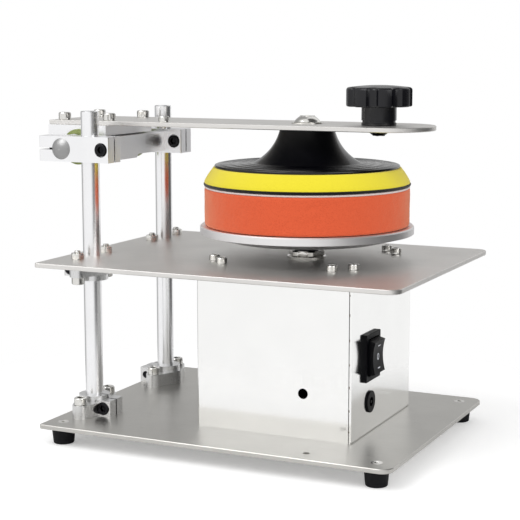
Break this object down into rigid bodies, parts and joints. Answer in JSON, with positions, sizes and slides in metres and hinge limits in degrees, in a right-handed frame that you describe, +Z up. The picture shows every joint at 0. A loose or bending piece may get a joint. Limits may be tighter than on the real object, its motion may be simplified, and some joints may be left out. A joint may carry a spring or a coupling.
{
  "type": "disc repair machine",
  "caption": "Bench disc repair machine: motor-driven turntable on a box housing, with a sponge polishing pad on a hinged arm that slides on upright rods.",
  "frame": {"origin": "on the surface the feet stand on, under the middle of the outline", "axes": "+Z up, +X along the front edge to the right, +Y from the front to the back"},
  "size_m": [0.281, 0.1924, 0.2365],
  "materials": {
    "plate_steel": "satin brushed plate",
    "rod_chrome": "polished chrome",
    "support_alloy": "fine machined",
    "screw_steel": "bright zinc plated",
    "black_screw": "black oxide",
    "box_steel": "bright half-polished sheet",
    "block_alloy": "satin anodised",
    "bush_polymer": "dull olive",
    "foot_rubber": "soft matt",
    "switch_plastic": "fine matt",
    "knob_plastic": "smooth satin gloss",
    "backing_plastic": "smooth moulded",
    "turntable_alloy": "turned and polished",
    "hub_dark": "darkened steel",
    "sponge_orange": "fine open-cell foam",
    "loop_white": "short loop pile",
    "hook_black": "short hooks",
    "foam_yellow": "closed-cell foam",
    "brass": "turned",
    "motor_steel": "zinc plated",
    "magnet_ferrite": "dull",
    "core_steel": "stacked sheet",
    "brush_carbon": "dull",
    "cap_plastic": "moulded",
    "wire_red": "soft insulation",
    "wire_black": "soft insulation",
    "spacer_steel": "turned"
  },
  "bodies": {
    "stand": {"base_plate": "plate_steel", "feet": "foot_rubber", "foot_screws": "screw_steel", "front_rod": "rod_chrome", "rear_rod": "rod_chrome", "base_rod_supports": "support_alloy", "support_clamp_screws": "black_screw", "support_screws": "screw_steel", "support_nuts": "screw_steel", "table_plate": "plate_steel", "table_rod_supports": "support_alloy", "housing_front_shell": "box_steel", "housing_rear_shell": "box_steel", "housing_screws": "screw_steel", "housing_nuts": "screw_steel", "switch_body": "switch_plastic", "switch_terminals": "brass", "dc_inlet": "switch_plastic", "dc_inlet_nut": "screw_steel", "wire_supply_minus": "wire_black", "wire_supply_plus": "wire_red", "wire_motor_minus": "wire_black", "wire_motor_plus": "wire_red", "motor_can": "motor_steel", "motor_lock_washer": "screw_steel", "motor_lock_nut": "screw_steel", "motor_end_cap": "cap_plastic", "motor_bearings": "brass", "motor_magnets": "magnet_ferrite", "motor_brushes": "brush_carbon", "motor_terminals": "brass"},
    "rotor": {"motor_shaft": "rod_chrome", "motor_armature": "core_steel", "motor_commutator": "brass", "turntable_hub": "hub_dark", "hub_set_screw": "black_screw", "turntable": "turntable_alloy", "turntable_screws": "screw_steel"},
    "carriage": {"yoke": "block_alloy", "yoke_clamp_screws": "black_screw", "pivot_clamp_screws": "black_screw", "pivot_shaft": "rod_chrome", "pivot_spacers": "spacer_steel"},
    "arm": {"hinge_block": "block_alloy", "pivot_bushes": "bush_polymer", "arm_plate": "plate_steel", "arm_screws": "screw_steel", "stop_screw": "screw_steel", "pad_bolt": "screw_steel", "pad_washer": "screw_steel", "pad_insert": "brass", "pad_backing": "backing_plastic", "pad_foam": "foam_yellow", "hook_layer": "hook_black", "loop_layer": "loop_white", "polishing_sponge": "sponge_orange", "star_knob": "knob_plastic", "knob_insert": "brass", "knob_screw": "screw_steel"},
    "rocker": {"switch_rocker": "switch_plastic"}
  },
  "joints": [
    {"name": "turntable_spin", "type": "hinge", "parent": "stand", "child": "rotor", "pos_m": [0.0404, 0.0035, 0.14], "axis": [0, 0, 1], "continuous": true},
    {"name": "yoke_slide", "type": "slide", "parent": "stand", "child": "carriage", "axis": [0, 0, 1], "range_m": [0, 0.012]},
    {"name": "arm_lift", "type": "hinge", "parent": "carriage", "child": "arm", "pos_m": [-0.1113, -0.0005, 0.1935], "axis": [0, -1, 0], "range_deg": [0, 105]},
    {"name": "switch_rock", "type": "hinge", "parent": "stand", "child": "rocker", "pos_m": [0.0957, -0.0192, 0.0644], "axis": [0, 1, 0], "range_deg": [-9, 9]}
  ]
}
